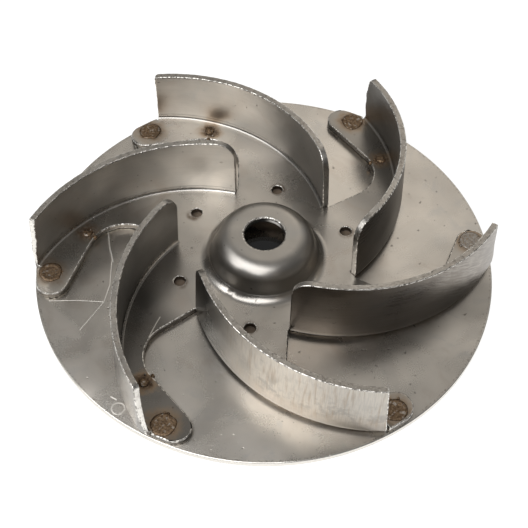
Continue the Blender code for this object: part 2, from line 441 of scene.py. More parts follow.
STEEL_LIGHT = (0.60, 0.565, 0.515, 1.0)
STEEL_MID = (0.47, 0.445, 0.41, 1.0)
STEEL_DARK = (0.33, 0.312, 0.288, 1.0)
STEEL_BRIGHT = (0.86, 0.83, 0.77, 1.0)
STEEL_GROUND = (0.65, 0.605, 0.535, 1.0)
DISC_LIGHT = (0.70, 0.655, 0.595, 1.0)
DISC_MID = (0.56, 0.53, 0.485, 1.0)
HEAT_STRAW = (0.34, 0.24, 0.15, 1.0)
HEAT_BROWN = (0.11, 0.07, 0.045, 1.0)
HOLE_STAIN_AND_SHADOW = (0.15, 0.10, 0.06, 1.0)
WARM_TINT = (0.44, 0.37, 0.31, 1.0)
COOL_TINT = (0.42, 0.44, 0.45, 1.0)
# Grime, and painted shade where it darkens the inside of the boss, the foot edges and the hole
# walls
GRIME_AND_PAINTED_SHADE = (0.09, 0.075, 0.06, 1.0)

# How light each arm's steel is drawn, on its inner and on its outer face: partly the steel's own
# tone, partly painted light and shade
INNER_TONES_AND_PAINTED_LIGHT = (0.90, 1.06, 0.37, 0.80, 0.68, 0.55)
OUTER_TONES_AND_PAINTED_LIGHT = (0.80, 0.80, 0.70, 0.48, 0.40, 0.30)
HUB_TONE = 0.86
# Arms whose outer face is ground bright or scuffed, and the middle one of three with bare tips
GROUND_ARM = 4.0
SCUFFED_ARM = 5.0
BARE_TIP_ARM = 3.0
WHITE = (1.0, 1.0, 1.0, 1.0)
UMBER = (1.0, 0.93, 0.87, 1.0)

# Places and sizes on the finishes: where each arm's own tone and painted light fade in, the inside
# of the boss, drawn dark as painted shade, the press line above the foot of each vane, the painted
# highlight on the bore's lip, and the reach of the heat
HUB_EDGE = (40.0 * MM, 54.0 * MM)
BOSS_INSIDE_PAINTED_SHADE = (25.0 * MM, 23.0 * MM)
PRESS_LINE = PLATE_TOP + 2.0 * MM
BORE_LIP_PAINTED_HIGHLIGHT = (4.2 * MM, 6.8 * MM, 17.4 * MM)
RING_MARK_RADIUS = 2.4 * MM
LOBE_HEAT_REACH = 9.0 * MM
NECK_HEAT_REACH = 7.0 * MM
HEAT_WANDER = 5.0 * MM

# Painted light and shade: places made lighter or darker, as point and reach in millimetres, and the
# tone
DISC_PAINTED_LIGHT_AND_SHADE = [((6.0, -76.0, 2.5), 26.0, 1.24), ((83.0, -18.0, 2.5), 20.0, 0.68),
               ((62.0, 44.0, 2.5), 26.0, 0.87), ((74.0, -2.0, 2.5), 18.0, 0.88),
               ((-68.0, -15.0, 2.5), 15.0, 0.86), ((-59.0, -52.0, 2.5), 16.0, 0.88)]
SPIDER_PAINTED_LIGHT_AND_SHADE = [((-24.0, 32.0, 7.0), 14.0, 1.22), ((-41.0, -42.0, 5.0), 18.0, 0.80),
                 ((3.0, -33.0, 5.0), 12.0, 0.86), ((10.0, 50.0, 20.0), 17.0, 0.80),
                 ((-81.0, 4.0, 20.0), 18.0, 0.80), ((39.0, -9.0, 5.0), 11.0, 0.84),
                 ((-14.0, 67.0, 9.0), 15.0, 0.90), ((-7.0, 45.0, 5.0), 13.0, 0.90),
                 ((-19.7, -13.8, 7.0), 9.0, 1.45), ((-55.0, 22.0, 5.0), 13.0, 0.85)]
RUBBED_PAINTED_LIGHT_AND_SHADE = [((-15.5, -39.0, 15.0), 26.0, 0.55), ((26.0, -71.0, 15.0), 22.0, 0.92)]


def steel_base(finish, light, dark):
    """Cloudy steel with fine grain and small pits: colour, roughness and bump."""
    clouds = finish.noise(26.0 * MM, 3.0, 0.5, warp=0.6)
    tint = finish.noise(17.0 * MM, 4.0, 0.6, warp=1.2)
    grain = finish.noise(0.5 * MM, 2.0, 0.6)
    pits = finish.step(finish.noise(1.9 * MM, 1.0, 0.5), 0.20, 0.27, 1.0, 0.0)
    colour = finish.blend(finish.step(clouds, 0.35, 0.68), dark, light)
    colour = finish.blend(finish.step(tint, 0.52, 0.72) * 0.30, colour, WARM_TINT)
    colour = finish.blend(finish.step(tint, 0.46, 0.30) * 0.25, colour, COOL_TINT)
    colour = finish.blend(grain * 0.10, colour, dark)
    colour = finish.blend(pits * 0.55, colour, GRIME_AND_PAINTED_SHADE)
    rough = 0.20 + clouds * 0.12 + grain * 0.03
    waves = finish.bump(finish.noise(24.0 * MM, 1.0, 0.4), 0.9 * MM)
    skin = finish.bump(grain, 0.005 * MM, waves)
    skin = finish.bump(1.0 - pits, 0.05 * MM, skin)
    return colour, rough, skin


def arm_tone_and_painted_light(finish, number, tones, fade):
    """How light this arm is drawn, fading in from the hub: steel tone and painted light and shade.
    """
    stops = [((i + 0.5) / ARM_COUNT, grey(tone)) for i, tone in enumerate(tones)]
    stops.insert(0, (0.0, grey(HUB_TONE)))
    tone = finish.add("ShaderNodeValToRGB", {"stops": stops, "ramp_steps": "CONSTANT"},
                      (number / ARM_COUNT,))
    return finish.blend(fade, grey(HUB_TONE), tone)


def scratches(finish, place, along, across, low, high):
    """Fine lines drawn out along one direction, as a mask."""
    drawn_out = finish.vector("MULTIPLY", place, (1.0 / along, 1.0 / across, 1.0 / across))
    return finish.step(finish.noise(1.0, 2.0, 0.6, place=drawn_out), low, high)


def arm_place(finish):
    """The place in the arm's own frame, and the arm's number."""
    turn = finish.attribute("arm_turn")
    local = finish.add("ShaderNodeVectorRotate", {"rotation_type": "Z_AXIS"},
                       {"Vector": finish.place, "Angle": 0.0 - turn})
    return local, finish.attribute("arm_number")


def weld_heat(finish):
    """Heat tint round the spot welds: straw outside, brown inside, faint above the flat."""
    wobble = finish.noise(5.0 * MM, 4.0, 0.65)
    shift = finish.vector("MULTIPLY_ADD", finish.join(wobble, 1.0 - wobble, 0.0),
                          (HEAT_WANDER, HEAT_WANDER, 0.0), finish.place)
    straw = 0.0
    brown = 0.0
    for places, reach in ((LOBE_WELDS, LOBE_HEAT_REACH), (NECK_WELDS, NECK_HEAT_REACH)):
        for index in range(ARM_COUNT):
            spot, _ = weld_spot(places, index)
            middle = (spot.x + 0.5 * HEAT_WANDER, spot.y + 0.5 * HEAT_WANDER, PLATE_TOP)
            straw = finish.near(shift, middle, 0.45 * reach, reach) + straw
            brown = finish.near(shift, middle, 0.25 * reach, 0.72 * reach) + brown
    height = finish.split(finish.place)[2]
    flat = finish.step(height, PLATE_TOP + 0.6 * MM, PLATE_TOP + 3.0 * MM, 1.0, 0.12)
    return straw.math("MINIMUM", flat), brown.math("MINIMUM", flat)


def hole_heat(finish, local):
    """Heat tint round the pierced hole."""
    spot = hole_place()
    wobble = finish.noise(3.0 * MM, 2.0, 0.6)
    ring = finish.near(local, (spot.x, spot.y, PLATE_TOP), 2.3 * MM, 4.0 * MM)
    return ring * finish.step(wobble, 0.25, 0.65)


def vane_polar(finish, local):
    """Length along the vane's arc, measured from the arm's X axis, and height."""
    centre = vane_centre()
    offset = finish.vector("SUBTRACT", local, (centre.x, centre.y, 0.0))
    x, y, z = finish.split(offset)
    return y.math("ARCTAN2", x) * VANE_ARC_RADIUS, z


def make_inner_steel():
    """The sheet's upper face: hub, feet and the concave side of the vanes."""
    finish = Finish("pressed_steel")
    colour, rough, skin = steel_base(finish, STEEL_LIGHT, STEEL_MID)
    local, number = arm_place(finish)
    straw, brown = weld_heat(finish)
    hole = hole_heat(finish, local)
    along, height = vane_polar(finish, local)
    radius = finish.plan_radius(local)
    past_hub = finish.step(radius, *HUB_EDGE)
    # The arm's tone: partly the steel's own, partly painted light and shade
    colour = finish.toned(colour, arm_tone_and_painted_light(finish, number, INNER_TONES_AND_PAINTED_LIGHT, past_hub))
    # Painted light and shade round a few points, a painted highlight on the boss's base fillet
    # among them
    colour = finish.painted_light_and_shade(colour, SPIDER_PAINTED_LIGHT_AND_SHADE)
    upright = finish.step(height, PLATE_TOP + 1.5 * MM, PLATE_TOP + 4.0 * MM)
    drawn = scratches(finish, finish.join(along, height, 0.0), 22.0 * MM, 0.7 * MM, 0.35, 0.75)
    colour = finish.blend(drawn * upright * 0.10, colour, STEEL_DARK)
    rough = rough + upright * 0.06 + drawn * upright * 0.03
    mark = finish.step(height, PRESS_LINE, PRESS_LINE + 0.3 * MM)
    mark = mark * finish.step(height, PRESS_LINE + 1.0 * MM, PRESS_LINE + 0.6 * MM)
    colour = finish.blend(mark * 0.5, colour, STEEL_DARK)
    skin = finish.bump(mark, -0.05 * MM, skin)
    grain = finish.noise(0.9 * MM, 3.0, 0.7)
    patches = finish.noise(2.6 * MM, 4.0, 0.7)
    colour = finish.blend(straw * finish.step(patches, 0.22, 0.55) * 0.75, colour, HEAT_STRAW)
    colour = finish.blend(hole * 0.8, colour, HEAT_BROWN)
    colour = finish.blend(brown * finish.step(grain, 0.26, 0.60) * 0.9, colour, HEAT_BROWN)
    rough = rough + brown * 0.22 + straw * 0.06
    skin = finish.bump(brown * grain, 0.12 * MM, skin)
    on_flat = finish.step(height, PLATE_TOP + 1.0 * MM, PLATE_TOP + 0.5 * MM)
    lines = finish.marks(SPIDER_SCRATCHES) * on_flat
    colour = finish.blend(lines * 0.6, colour, STEEL_BRIGHT)
    return finish.surface(colour, rough, skin)


def make_outer_steel():
    """The sheet's lower face: the convex side of the vanes, rubbed bright on two of them."""
    finish = Finish("rubbed_steel")
    colour, rough, skin = steel_base(finish, STEEL_LIGHT, STEEL_MID)
    local, number = arm_place(finish)
    along, height = vane_polar(finish, local)
    # The arm's tone: partly the steel's own, partly painted light and shade
    tone = arm_tone_and_painted_light(finish, number, OUTER_TONES_AND_PAINTED_LIGHT, 1.0)
    browner = finish.step(number, 4.5, 4.6)
    colour = finish.toned(finish.toned(colour, tone), finish.blend(browner, WHITE, UMBER))
    surface = finish.join(along, height, 0.0)
    cross = scratches(finish, surface, 0.5 * MM, 6.0 * MM, 0.35, 0.70)
    drawn = scratches(finish, surface, 24.0 * MM, 1.0 * MM, 0.35, 0.70)
    patches = finish.noise(7.0 * MM, 5.0, 0.65)
    colour = finish.blend(drawn * 0.12, colour, STEEL_DARK)
    radius = finish.plan_radius(local)
    # Painted shade: the inside of the boss, seen through the bore, drawn dark
    colour = finish.blend(finish.step(radius, *BOSS_INSIDE_PAINTED_SHADE), colour, GRIME_AND_PAINTED_SHADE)
    ground = number.math("COMPARE", GROUND_ARM, 0.2)
    ground = ground * finish.step(along + height * 0.6, -98.0 * MM, -70.0 * MM)
    ground = ground * finish.step(height + patches * 4.0 * MM, 8.0 * MM, 14.0 * MM, 0.35, 1.0)
    scuffed = number.math("COMPARE", SCUFFED_ARM, 0.2)
    scuffed = scuffed * finish.step(along + height * 0.9, -62.0 * MM, -30.0 * MM)
    slant = finish.join(along - height * 0.8, height + along * 0.6, 0.0)
    scrapes = scratches(finish, slant, 9.0 * MM, 0.9 * MM, 0.38, 0.62)
    scuffed = scuffed * finish.step(patches, 0.30, 0.55) * scrapes
    rub = (ground * finish.step(patches, 0.12, 0.48) + scuffed * 0.5).math("MINIMUM", 1.0)
    bright = finish.blend(cross * 0.50, STEEL_GROUND, STEEL_MID)
    # Painted light and shade round a few points, laid over the rubbed patches
    colour = finish.painted_light_and_shade(finish.blend(rub, colour, bright), RUBBED_PAINTED_LIGHT_AND_SHADE)
    stripes = scratches(finish, surface, 1.1 * MM, 16.0 * MM, 0.50, 0.72)
    bare = finish.step(patches, 0.50, 0.60) * finish.step(height, 24.0 * MM, 18.0 * MM)
    colour = finish.blend(bare * ground * 0.5, colour, STEEL_DARK)
    low = ground * finish.step(height + patches * 6.0 * MM, 20.0 * MM, 8.0 * MM)
    colour = finish.blend(stripes * ground * 0.45, colour, HEAT_STRAW)
    colour = finish.blend(low * 0.35, colour, HEAT_STRAW)
    rough = rough + rub * 0.16 + drawn * 0.04
    skin = finish.bump(cross * rub, 0.02 * MM, skin)
    return finish.surface(colour, rough, skin, 1.0 - rub * 0.30)


def make_edge_steel():
    """Sheared edges: dull, with the tear lines of the shear, and bare at three worn tips."""
    finish = Finish("sheared_edge")
    colour, rough, skin = steel_base(finish, STEEL_MID, STEEL_DARK)
    local, number = arm_place(finish)
    height = finish.split(local)[2]
    radius = finish.plan_radius(local)
    tears = finish.noise(1.1 * MM, 4.0, 0.7)
    specks = finish.step(finish.noise(0.55 * MM, 3.0, 0.7), 0.60, 0.68)
    colour = finish.blend(finish.step(tears, 0.48, 0.36) * 0.5, colour, GRIME_AND_PAINTED_SHADE)
    colour = finish.blend(specks * 0.8, colour, STEEL_BRIGHT)
    # Painted shade: the sheared faces at the foot, low by the disc, drawn dark
    foot_edge_painted_shade = finish.step(height, PLATE_TOP + 0.6 * MM, PLATE_TOP, 0.0, 0.7)
    colour = finish.blend(foot_edge_painted_shade, colour, GRIME_AND_PAINTED_SHADE)
    bare = finish.step(radius, 86.0 * MM, 88.0 * MM) * finish.step(height, 6.0 * MM, 8.0 * MM)
    bare = bare * finish.step(height, VANE_TIP_HEIGHT - 0.3 * MM, VANE_TIP_HEIGHT - 0.8 * MM)
    bare = bare * number.math("COMPARE", BARE_TIP_ARM, 1.2)
    colour = finish.blend(bare * finish.step(tears, 0.30, 0.45), colour, STEEL_BRIGHT)
    # Painted shade: the wall of the pierced hole drawn dark
    spot = hole_place()
    pierced = finish.near(local, (spot.x, spot.y, PLATE_TOP - 1.2 * MM), 2.6 * MM, 3.4 * MM)
    colour = finish.blend(pierced * 0.85, colour, GRIME_AND_PAINTED_SHADE)
    # Painted highlight: a bright, less metallic patch on the bore's wall by its upper edge
    worn = finish.near(finish.place, BORE_LIP_PAINTED_HIGHLIGHT, 1.2 * MM, 4.8 * MM)
    colour = finish.blend(worn, colour, STEEL_BRIGHT)
    skin = finish.bump(tears, 0.08 * MM, skin)
    return finish.surface(colour, rough + 0.06 + worn * 0.2, skin, 1.0 - worn)


def make_glint_steel():
    """The rounded arrises, worn bright, with dark nicks."""
    finish = Finish("worn_arris")
    nicks = finish.step(finish.noise(1.2 * MM, 4.0, 0.7), 0.46, 0.58)
    colour = finish.blend(nicks * 0.8, STEEL_BRIGHT, GRIME_AND_PAINTED_SHADE)
    return finish.surface(colour, 0.22 + nicks * 0.2, finish.bump(nicks, 0.05 * MM))


def make_disc_steel():
    """The back disc: warm rolled sheet with scratches, specks, and stains and painted shadow under
    the holes.
    """
    finish = Finish("disc_steel")
    colour, rough, skin = steel_base(finish, DISC_LIGHT, DISC_MID)
    # Painted light and shade on the disc round a few points
    colour = finish.painted_light_and_shade(colour, DISC_PAINTED_LIGHT_AND_SHADE)
    x, y, _ = finish.split(finish.place)
    angle = y.math("ARCTAN2", x) - (FIRST_ARM_ANGLE + HOLE_ANGLE - 0.5 * SIXTH)
    folded = angle.math("FLOORED_MODULO", SIXTH) - 0.5 * SIXTH
    radius = finish.vector("LENGTH", finish.join(x, y, 0.0), output="Value")
    under = finish.join(radius, folded * HOLE_PITCH_RADIUS, 0.0)
    under_hole_stain_and_shadow = finish.near(under, (HOLE_PITCH_RADIUS, 0.0, 0.0), 2.2 * MM, 3.6 * MM)
    hair = scratches(finish, finish.place, 11.0 * MM, 0.3 * MM, 0.68, 0.78)
    nicks = finish.step(finish.noise(3.2 * MM, 5.0, 0.75), 0.68, 0.74)
    rim = finish.step(radius, DISC_RADIUS - 1.5 * MM, DISC_RADIUS - 0.9 * MM)
    dirt = rim * finish.step(finish.noise(0.8 * MM, 4.0, 0.7), 0.50, 0.62)
    colour = finish.blend(dirt * 0.55, colour, GRIME_AND_PAINTED_SHADE)
    arris = finish.step(radius, DISC_RADIUS - 0.62 * MM, DISC_RADIUS - 0.4 * MM)
    colour = finish.blend(arris * 0.7, colour, STEEL_BRIGHT)
    lines = finish.marks(DISC_SCRATCHES)
    gap = finish.vector("DISTANCE", finish.place, DISC_RING_MARK, output="Value")
    gap = (gap - RING_MARK_RADIUS).math("ABSOLUTE")
    lines = lines.math("MAXIMUM", finish.step(gap, 0.1 * MM, 0.4 * MM, 0.5, 0.0))
    # Brown stain and painted shadow on the disc under each pierced hole
    colour = finish.blend(under_hole_stain_and_shadow * 0.9, colour, HOLE_STAIN_AND_SHADOW)
    colour = finish.blend(hair * 0.15, colour, STEEL_BRIGHT)
    colour = finish.blend(nicks * 0.5, colour, GRIME_AND_PAINTED_SHADE)
    colour = finish.blend(lines * 0.8, colour, STEEL_BRIGHT)
    skin = finish.bump(hair, 0.008 * MM, skin)
    skin = finish.bump(lines, -0.05 * MM, skin)
    return finish.surface(colour, rough + lines * 0.25 + under_hole_stain_and_shadow * 0.3, skin, 1.0 - under_hole_stain_and_shadow * 0.85)


def make_weld_steel():
    """Burnt weld metal: brown, rough, with a bare glint here and there."""
    finish = Finish("weld_steel")
    crust = finish.noise(0.7 * MM, 5.0, 0.7)
    glint = finish.step(finish.noise(1.3 * MM, 3.0, 0.6), 0.56, 0.66)
    colour = finish.blend(finish.step(crust, 0.35, 0.65), HEAT_BROWN, HEAT_STRAW)
    colour = finish.blend(glint * 0.7, colour, STEEL_LIGHT)
    clean, _ = weld_spot(LOBE_WELDS, CLEAN_WELD_ARM - 1)
    clean = finish.near(finish.place, (clean.x, clean.y, PLATE_TOP), 6.0 * MM, 8.0 * MM)
    colour = finish.blend(clean * finish.step(crust, 0.62, 0.42, 0.2, 0.95), colour, STEEL_MID)
    return finish.surface(colour, 0.52 - glint * 0.2, finish.bump(crust, 0.2 * MM))


def vane_height(distance):
    share = (distance - VANE_HEIGHT_FROM) / (VANE_HEIGHT_TO - VANE_HEIGHT_FROM)
    return VANE_INNER_HEIGHT + share * (VANE_TIP_HEIGHT - VANE_INNER_HEIGHT)


def vane_stations(number):
    """Angle on the vane's arc and height of the top edge, from the inner end to the tip."""
    centre = vane_centre()
    start = VANE_START_ANGLE
    end = math.radians(max(TIP_PROFILES[number - 1]))
    corner = VANE_CORNER_RADIUS
    stations = []
    for i in range(CORNER_STEPS):
        turn = 0.5 * math.pi * i / CORNER_STEPS
        run = corner * (1.0 - math.cos(turn))
        stations.append((start + run / VANE_ARC_RADIUS, corner * (1.0 - math.sin(turn))))
    after_corner = start + corner / VANE_ARC_RADIUS
    for i in range(VANE_STEPS + 1):
        stations.append((after_corner + (end - after_corner) * i / VANE_STEPS, 0.0))
    result = []
    for angle, drop in stations:
        distance = (centre + polar(VANE_ARC_RADIUS, angle)).length
        nick = noise.noise(Vector((angle * 60.0, number * 7.3, 0.0))) * NICK_DEPTH
        result.append((angle, vane_height(distance) - drop - abs(nick)))
    return result


def tip_wear(number, share):
    """How far the vane's end is cut back at a share of its height, in metres along its arc."""
    low, middle, high = TIP_PROFILES[number - 1]
    fall = (low - middle) * 2.0 * share if share < 0.5 else (
        low - middle + (middle - high) * (2.0 * share - 1.0))
    depth = math.radians(max(TIP_PROFILES[number - 1]) - low + fall) * VANE_ARC_RADIUS
    ragged = noise.noise(Vector((share * 5.0, number * 3.1, 2.0)))
    fine = noise.noise(Vector((share * 17.0, number * 5.7, 4.0)))
    depth += TIP_RAGGEDNESS[number - 1] * (ragged + 0.45 * fine)
    corner = TIP_CORNERS[number - 1]
    into = share * (VANE_TIP_HEIGHT - PLATE_TOP) - (VANE_TIP_HEIGHT - PLATE_TOP - corner)
    if into > 0.0:
        depth += corner - math.sqrt(max(0.0, corner * corner - into * into))
    return max(0.0, depth)


def slit_mouth(reach):
    """Open end of the slit, on the side of the arm before, in that arm's frame."""
    angle = VANE_START_ANGLE - SLIT / VANE_ARC_RADIUS
    return turned(vane_centre() + polar(VANE_ARC_RADIUS + SHEET + SLIT, angle), reach)


def foot_outline(bend_line, reach, swing):
    """Plan outline of a foot from the vane's tip round the lobe and the notch to the slit."""
    lobe_angle = LOBE_ANGLE + swing
    lobe = polar(FOOT_RIM_RADIUS - LOBE_RADIUS, lobe_angle)
    notch_centre = polar(NOTCH_PLACE[0], NOTCH_PLACE[1] + swing)
    rim = arc_points(Vector((0.0, 0.0)), FOOT_RIM_RADIUS, angle_of(bend_line[-1]), lobe_angle,
                     RIM_STEP)
    apart = lobe - notch_centre
    side = math.asin((NOTCH_RADIUS + LOBE_RADIUS) / apart.length) + angle_of(apart)
    around_lobe = arc_points(lobe, LOBE_RADIUS, lobe_angle, side + 0.5 * math.pi, LOBE_STEP)
    mouth = slit_mouth(reach)
    toward = notch_centre - mouth
    entry_angle = angle_of(toward) - math.asin(NOTCH_RADIUS / toward.length)
    notch = arc_points(notch_centre, NOTCH_RADIUS, side - 0.5 * math.pi,
                       entry_angle - 0.5 * math.pi)
    return rim + around_lobe[1:] + notch + [mouth]


def boss_profile():
    """Upper face of the boss, from the bore's edge to the foot of the base fillet."""
    wall = 0.5 * math.pi - BOSS_WALL_LEAN
    flat = [Vector((BORE_RADIUS + (BOSS_FLAT_RADIUS - BORE_RADIUS) * i / 4.0, BOSS_TOP))
            for i in range(4)]
    shoulder = arc_points(Vector((BOSS_FLAT_RADIUS, BOSS_TOP - BOSS_SHOULDER_RADIUS)),
                          BOSS_SHOULDER_RADIUS, 0.5 * math.pi, 0.5 * math.pi - wall, BOSS_STEP)
    base = arc_points(Vector((BOSS_BASE_RADIUS, PLATE_TOP + BOSS_BASE_FILLET)),
                      BOSS_BASE_FILLET, 1.5 * math.pi - wall, 1.5 * math.pi, BOSS_STEP)
    rise = shoulder[-1]
    fall = base[0]
    wall_points = [rise.lerp(fall, i / 3.0) for i in range(1, 3)]
    return flat + shoulder + wall_points + base


class SheetMesh:
    """The spider's upper face as an open surface, gathered in one bmesh."""

    def __init__(self):
        self.mesh = bmesh.new()
        self.turn = self.mesh.faces.layers.float.new("arm_turn")
        self.number = self.mesh.faces.layers.float.new("arm_number")

    def point(self, place, height):
        return self.mesh.verts.new((place[0], place[1], height))

    def face(self, verts, number=0):
        face = self.mesh.faces.new(verts)
        face[self.number] = float(number)
        face[self.turn] = arm_turn(number - 1) if number else 0.0
        face.smooth = True

    def strip(self, row, fresh, number=0):
        for i in range(len(row) - 1):
            self.face((row[i + 1], row[i], fresh[i], fresh[i + 1]), number)


def bend_start():
    """Inner end of the bend line, in the arm's own frame."""
    return vane_centre() + polar(VANE_ARC_RADIUS - BEND_RADIUS, VANE_START_ANGLE)


def bend_angle_at(distance):
    """World angle, less the arm's turn, of the bend line at a distance from the axis."""
    centre = vane_centre()
    radius = VANE_ARC_RADIUS - BEND_RADIUS
    first = bend_start()
    if distance <= first.length:
        return angle_of(first)
    cosine = (distance ** 2 - centre.length_squared - radius ** 2) / (2 * centre.length * radius)
    return angle_of(centre + polar(radius, angle_of(centre) - math.acos(min(1.0, cosine))))


def arm_of(place):
    """Number of the arm that a plan point of the plate belongs to."""
    here = angle_of(place) - bend_angle_at(place.length) + ARM_MARGIN
    past = [(here - arm_turn(i)) % (2.0 * math.pi) for i in range(ARM_COUNT)]
    return past.index(min(past)) + 1


def ring_angles():
    """Angles round the boss, with the seams among them."""
    starts = [arm_turn(i) + angle_of(bend_start()) for i in range(ARM_COUNT)]
    angles = []
    for i, start in enumerate(starts):
        end = starts[(i + 1) % ARM_COUNT] + (2.0 * math.pi if i + 1 == ARM_COUNT else 0.0)
        angles += [start + (end - start) * j / SECTOR_STEPS for j in range(SECTOR_STEPS)]
    return angles


def add_boss(sheet, angles):
    """The drawn boss; returns its outer ring of points."""
    ring = None
    for radius, height in boss_profile():
        fresh = []
        for angle in angles:
            dent = math.exp(-((angle - BOSS_DENT_ANGLE) * radius / BOSS_DENT_WIDTH) ** 2)
            dent *= math.exp(-((radius - BOSS_DENT_RADIUS) / BOSS_DENT_HEIGHT) ** 2)
            fresh.append(sheet.point(polar(radius, angle), height - dent * BOSS_DENT_DEPTH))
        if ring:
            sheet.strip(ring + ring[:1], fresh + fresh[:1])
        ring = fresh
    return ring


def add_vane(sheet, number, row, stations):
    """The bend and the upright vane, from the points of the bend line."""
    centre = vane_centre()
    turn = arm_turn(number - 1)
    foot_arc = VANE_ARC_RADIUS - BEND_RADIUS
    bend_angle = 0.5 * math.pi + VANE_LEAN
    end = stations[-1][0]
    reach = WEAR_REACH / VANE_ARC_RADIUS
    for step in range(1, BEND_STEPS + VANE_ROWS + 1):
        places = []
        for angle, top in stations:
            bent = bend_angle * min(step, BEND_STEPS) / BEND_STEPS
            radius = foot_arc + BEND_RADIUS * math.sin(bent)
            height = PLATE_TOP + BEND_RADIUS * (1.0 - math.cos(bent))
            if step > BEND_STEPS:
                rise = (top - height) * (step - BEND_STEPS) / VANE_ROWS
                radius -= rise * math.tan(VANE_LEAN)
                height += rise
            share = (height - PLATE_TOP) / (VANE_TIP_HEIGHT - PLATE_TOP)
            back = tip_wear(number, min(1.0, share)) / VANE_ARC_RADIUS
            shifted = angle - back * ease(end - reach, end, angle)
            places.append((turned(centre + polar(radius, shifted), turn), height))
        fresh = [sheet.point(place, height) for place, height in places]
        sheet.strip(row, fresh, number)
        row = fresh


def closed_loop(start, count):
    """Edges that join points start to start + count - 1 in a closed loop."""
    return [(start + i, start + (i + 1) % count) for i in range(count)]


def add_plate(sheet, ring, holes):
    """The flat of the spider with its feet and pierced holes, and the vanes along it."""
    centre = vane_centre()
    foot_arc = VANE_ARC_RADIUS - BEND_RADIUS
    points = [Vector((vert.co.x, vert.co.y)) for vert in ring]
    edges = closed_loop(0, len(ring))
    border = []
    arms = []
    for index in range(ARM_COUNT):
        turn = arm_turn(index)
        stations = vane_stations(index + 1)
        reach = SIXTH + ARM_SCATTER[(index + 1) % ARM_COUNT] - ARM_SCATTER[index]
        bend_line = [centre + polar(foot_arc, angle) for angle, _ in stations]
        outline = bend_line + foot_outline(bend_line, reach, FOOT_SWING[index])
        first = len(points) + len(border)
        arms.append((index + 1, first, stations))
        border += [turned(point, turn) for point in outline]
    edges += closed_loop(len(points), len(border))
    points += border
    edges += [((number - 1) * SECTOR_STEPS, first) for number, first, _ in arms]
    for middle in holes:
        edges += closed_loop(len(points), HOLE_POINTS)
        points += [middle + polar(HOLE_RADIUS, 2.0 * math.pi * i / HOLE_POINTS)
                   for i in range(HOLE_POINTS)]
    outer = list(range(len(ring), len(ring) + len(border)))
    made, _, faces, kept, _, _ = delaunay_2d_cdt(points, edges, [outer], 1, FLAT_JOIN_GAP)
    verts = []
    for place, sources in zip(made, kept):
        old = [source for source in sources if source < len(ring)]
        verts.append(ring[old[0]] if old else sheet.point(place, PLATE_TOP))
    index_of = {source: i for i, sources in enumerate(kept) for source in sources}
    for face in faces:
        middle = sum((made[i] for i in face), Vector((0.0, 0.0))) / len(face)
        in_hole = any((middle - hole).length < HOLE_RADIUS for hole in holes)
        if middle.length < BOSS_BASE_RADIUS or in_hole:
            continue
        sheet.face([verts[i] for i in face], arm_of(middle))
    for number, first, stations in arms:
        row = [verts[index_of[first + i]] for i in range(len(stations))]
        add_vane(sheet, number, row, stations)


def show(name, mesh, materials, nodes):
    """Put a mesh in the scene as a piece that stands for CAD nodes; returns the piece."""
    piece = bpy.data.objects.new(name, mesh)
    bpy.context.scene.collection.objects.link(piece)
    for material in materials:
        mesh.materials.append(material)
    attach(piece, "root")
    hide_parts(*nodes)
    return piece


def set_in_metal(piece):
    """Turn the modifiers into mesh, so that single edges can be picked out."""
    graph = bpy.context.evaluated_depsgraph_get()
    graph.update()
    mesh = bpy.data.meshes.new_from_object(piece.evaluated_get(graph))
    piece.modifiers.clear()
    piece.data = mesh


def edge_round(middle, holes):
    """How much an edge of the spider is rounded, by the place of its middle."""
    plan = Vector((middle.x, middle.y))
    if plan.length < BORE_RADIUS + 1.0 * MM and middle.z > BOSS_TOP - 0.5 * MM:
        return BORE_ROUND
    if min((plan - hole).length for hole in holes) < HOLE_RADIUS + 0.3 * MM:
        return HOLE_ROUND
    if plan.length < SLIT_REACH and middle.z < PLATE_TOP + ON_TOP:
        return 0.0
    if abs(middle.z - PLATE_TOP) < ON_TOP:
        return FOOT_ROUND
    return EDGE_ROUND


def round_edges(piece, holes):
    """Round each sharp edge by its own amount, with weights on one Bevel modifier."""
    mesh = piece.data
    work = bmesh.new()
    work.from_mesh(mesh)
    weight = work.edges.layers.float.new("bevel_weight_edge")
    for vert in work.verts:
        distance = math.hypot(vert.co.x, vert.co.y)
        if distance > TURNED_RADIUS:
            vert.co.x *= TURNED_RADIUS / distance
            vert.co.y *= TURNED_RADIUS / distance
    for edge in work.edges:
        if len(edge.link_faces) == 2 and edge.calc_face_angle(0.0) > SHARP_TURN:
            middle = (edge.verts[0].co + edge.verts[1].co) / 2.0
            edge[weight] = edge_round(middle, holes) / BORE_ROUND
            edge.smooth = edge[weight] > 0.0
    work.to_mesh(mesh)
    work.free()
    bevel = piece.modifiers.new("edge_round", "BEVEL")
    bevel.width = BORE_ROUND
    bevel.segments = ROUND_STEPS
    bevel.limit_method = "WEIGHT"
    bevel.material = ARRIS_SLOT
    bevel.use_clamp_overlap = False
    join = piece.modifiers.new("corners_joined", "WELD")
    join.merge_threshold = JOIN_GAP
    flats = piece.modifiers.new("flats_stay_flat", "WEIGHTED_NORMAL")
    flats.keep_sharp = True


